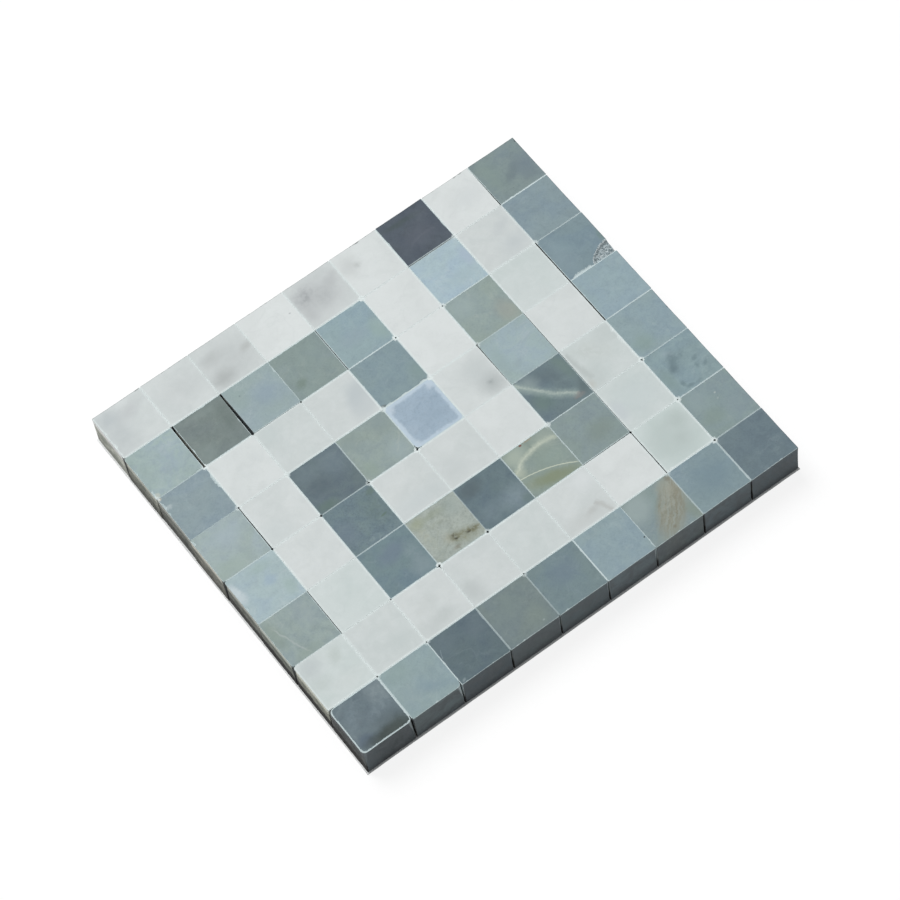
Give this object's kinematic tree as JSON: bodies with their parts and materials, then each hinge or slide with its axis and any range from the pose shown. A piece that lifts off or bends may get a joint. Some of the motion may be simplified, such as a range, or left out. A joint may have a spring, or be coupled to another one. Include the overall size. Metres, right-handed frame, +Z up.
{
  "type": "marble mosaic border corner tile",
  "caption": "Flat corner tile of a key-pattern mosaic border: square grey and white marble chips on a net backing.",
  "frame": {"origin": "on the floor under the middle of the tile's bounding box", "axes": "+Z up out of the polished face, +X along the chip rows, +Y along the chip columns, away from the outer corner of the pattern"},
  "size_m": [0.1378, 0.1226, 0.0116],
  "materials": {
    "slate_marble": "polished",
    "blue_grey_marble": "polished",
    "pale_blue_marble": "polished",
    "sage_marble": "polished",
    "brown_veined_marble": "polished",
    "plum_marble": "polished",
    "white_marble": "polished",
    "mesh_net": "matte"
  },
  "bodies": {
    "root": {"grey_chip_r1_c1": "slate_marble", "grey_chip_r1_c2": "pale_blue_marble", "grey_chip_r1_c3": "slate_marble", "grey_chip_r1_c4": "sage_marble", "grey_chip_r1_c5": "blue_grey_marble", "grey_chip_r1_c6": "pale_blue_marble", "grey_chip_r1_c7": "brown_veined_marble", "grey_chip_r1_c8": "blue_grey_marble", "grey_chip_r1_c9": "slate_marble", "grey_chip_r2_c9": "sage_marble", "grey_chip_r3_c1": "sage_marble", "grey_chip_r3_c3": "blue_grey_marble", "grey_chip_r3_c4": "brown_veined_marble", "grey_chip_r3_c5": "slate_marble", "grey_chip_r3_c6": "sage_marble", "grey_chip_r3_c7": "sage_marble", "grey_chip_r3_c9": "blue_grey_marble", "grey_chip_r4_c1": "pale_blue_marble", "grey_chip_r4_c3": "slate_marble", "grey_chip_r4_c7": "slate_marble", "grey_chip_r4_c9": "pale_blue_marble", "grey_chip_r5_c1": "blue_grey_marble", "grey_chip_r5_c3": "slate_marble", "grey_chip_r5_c4": "sage_marble", "grey_chip_r5_c5": "pale_blue_marble", "grey_chip_r5_c7": "pale_blue_marble", "grey_chip_r5_c9": "pale_blue_marble", "grey_chip_r6_c1": "blue_grey_marble", "grey_chip_r6_c5": "blue_grey_marble", "grey_chip_r6_c7": "sage_marble", "grey_chip_r6_c9": "blue_grey_marble", "grey_chip_r7_c1": "pale_blue_marble", "grey_chip_r7_c2": "sage_marble", "grey_chip_r7_c3": "pale_blue_marble", "grey_chip_r7_c4": "sage_marble", "grey_chip_r7_c5": "blue_grey_marble", "grey_chip_r7_c7": "pale_blue_marble", "grey_chip_r7_c9": "blue_grey_marble", "grey_chip_r8_c7": "plum_marble", "grey_chip_r8_c9": "sage_marble", "white_chips_r2": "white_marble", "white_chips_r3": "white_marble", "white_chips_r4": "white_marble", "white_chips_r5": "white_marble", "white_chips_r6": "white_marble", "white_chips_r7": "white_marble", "white_chips_r8": "white_marble", "mesh_backing": "mesh_net"}
  },
  "joints": []
}
